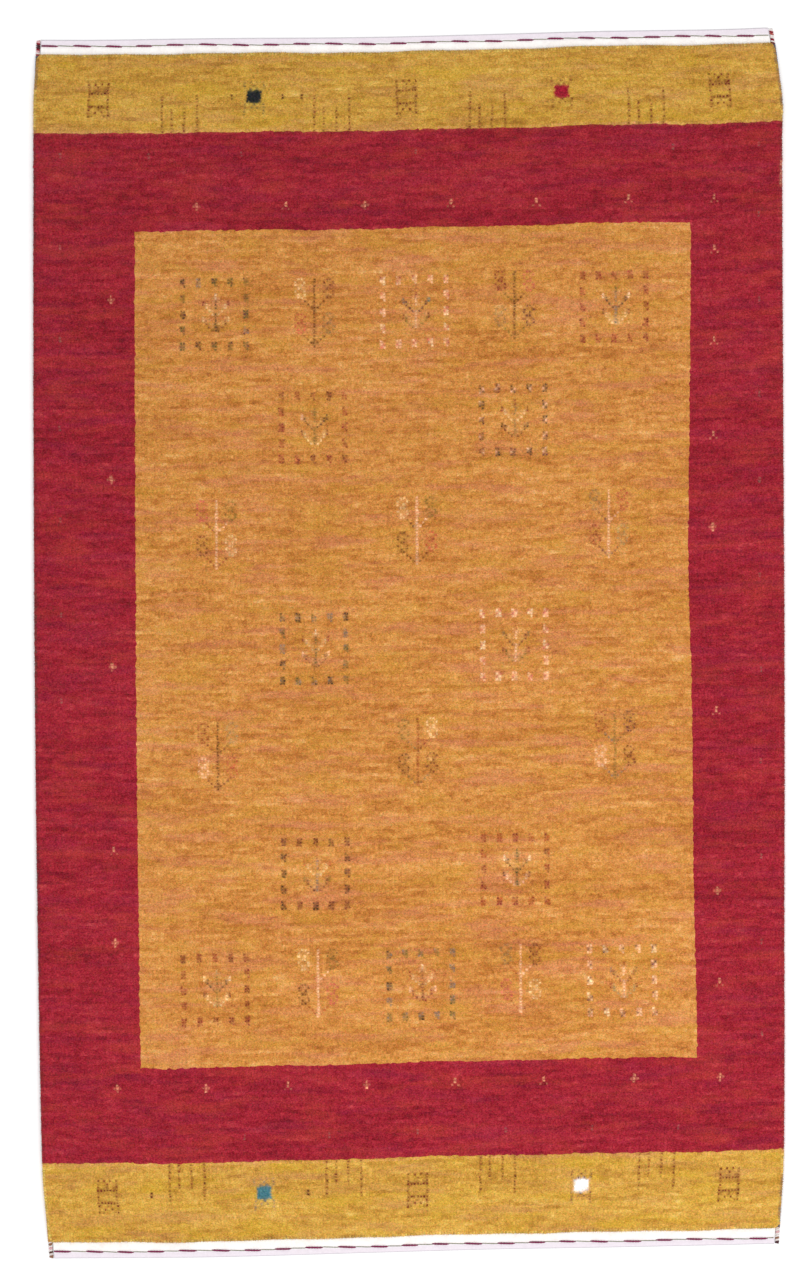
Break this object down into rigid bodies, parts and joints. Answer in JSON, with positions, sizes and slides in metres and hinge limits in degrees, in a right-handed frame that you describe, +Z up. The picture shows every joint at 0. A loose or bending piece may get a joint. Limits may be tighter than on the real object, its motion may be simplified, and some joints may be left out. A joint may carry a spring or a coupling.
{
  "type": "gabbeh rug",
  "caption": "Flat rectangular knotted wool rug with an amber field, madder border, mustard end panels and bare cotton end bands.",
  "frame": {"origin": "middle of the rug's box, on the floor that it lies on", "axes": "+X across the rug to the right as its design is read, +Y along the warps to the head end, +Z up out of the pile"},
  "size_m": [0.9246, 1.5167, 0.0126],
  "materials": {
    "cotton_ground": "flat-woven undyed cotton",
    "wool_pile": "sheared hand-knotted wool, amber with madder and mustard",
    "selvedge_yarn": "overcast wool yarn, slate",
    "twined_yarn": "twined wool yarn, plum and olive",
    "wrapping_yarn": "overcast wool yarn, wine and cream"
  },
  "bodies": {
    "root": {"ground_weave": "cotton_ground", "pile": "wool_pile", "selvedge_left": "selvedge_yarn", "selvedge_right": "selvedge_yarn", "twined_line_head": "twined_yarn", "twined_line_foot": "twined_yarn", "corner_wrap_head_left": "wrapping_yarn", "corner_wrap_head_right": "wrapping_yarn", "corner_wrap_foot_left": "wrapping_yarn", "corner_wrap_foot_right": "wrapping_yarn"}
  },
  "joints": []
}
